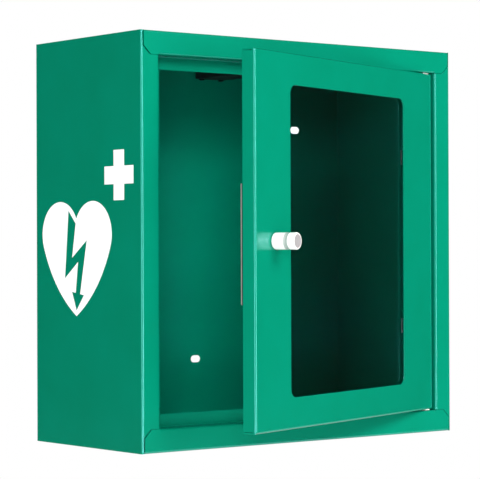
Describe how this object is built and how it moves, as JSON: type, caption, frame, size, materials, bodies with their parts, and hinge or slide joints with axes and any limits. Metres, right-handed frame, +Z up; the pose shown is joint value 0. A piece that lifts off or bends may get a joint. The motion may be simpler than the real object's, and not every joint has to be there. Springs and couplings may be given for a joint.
{
  "type": "defibrillator wall cabinet",
  "caption": "Sheet-steel wall cabinet with an inset glazed door on pivot pins, pull knob, magnetic catch, ceiling-mounted door alarm and heart and cross rescue signs.",
  "frame": {"origin": "centre of the back face that lies on the wall", "axes": "+X to the right as seen from the front, +Y into the wall, +Z up; the door is on the -Y side"},
  "size_m": [0.3702, 0.29, 0.37],
  "materials": {
    "green_powder_coat": "semi-gloss powder coat",
    "zinc_plated_steel": "bright zinc plate",
    "white_nylon": "matt nylon",
    "white_moulded_plastic": "glossy moulded plastic",
    "clear_acrylic": "clear polished sheet",
    "black_foam_tape": "closed-cell foam",
    "flexible_magnet": "plastic-bonded ferrite",
    "black_abs": "spark-eroded moulding",
    "battery_can": "lacquered steel can",
    "circuit_board": "solder mask",
    "reed_glass": "clear glass tube",
    "white_vinyl": "gloss self-adhesive film"
  },
  "bodies": {
    "case": {"cabinet_wrap": "green_powder_coat", "top_panel": "green_powder_coat", "bottom_panel": "green_powder_coat", "upper_hinge_pin": "zinc_plated_steel", "lower_hinge_pin": "zinc_plated_steel", "alarm_base": "black_abs", "alarm_cover": "black_abs", "alarm_battery": "battery_can", "battery_snap": "black_abs", "alarm_board": "circuit_board", "alarm_sounder": "black_abs", "reed_sensor": "reed_glass", "switch_body": "black_abs", "alarm_screws": "zinc_plated_steel", "alarm_tapes": "black_foam_tape", "left_heart_sign": "white_vinyl", "left_cross_sign": "white_vinyl", "right_heart_sign": "white_vinyl", "right_cross_sign": "white_vinyl"},
    "door": {"door_pan": "green_powder_coat", "upper_hinge_bush": "white_nylon", "lower_hinge_bush": "white_nylon", "window_pane": "clear_acrylic", "window_tape": "black_foam_tape", "window_studs": "zinc_plated_steel", "window_clips": "zinc_plated_steel", "window_nuts": "zinc_plated_steel", "door_knob": "white_moulded_plastic", "knob_washer": "zinc_plated_steel", "knob_screw": "zinc_plated_steel", "catch_tape": "black_foam_tape", "catch_magnet": "flexible_magnet", "door_magnet": "black_abs", "door_magnet_tape": "black_foam_tape"},
    "hatch": {"battery_hatch": "black_abs"},
    "switch": {"switch_slider": "white_nylon"}
  },
  "joints": [
    {"name": "door_hinge", "type": "hinge", "parent": "case", "child": "door", "pos_m": [0.1558, -0.164, 0], "axis": [0, 0, 1], "range_deg": [-19.6, 85.4]},
    {"name": "hatch_slide", "type": "slide", "parent": "case", "child": "hatch", "axis": [1, 0, 0], "range_m": [0, 0.03]},
    {"name": "switch_slide", "type": "slide", "parent": "case", "child": "switch", "axis": [0, 1, 0], "range_m": [0, 0.004]}
  ]
}
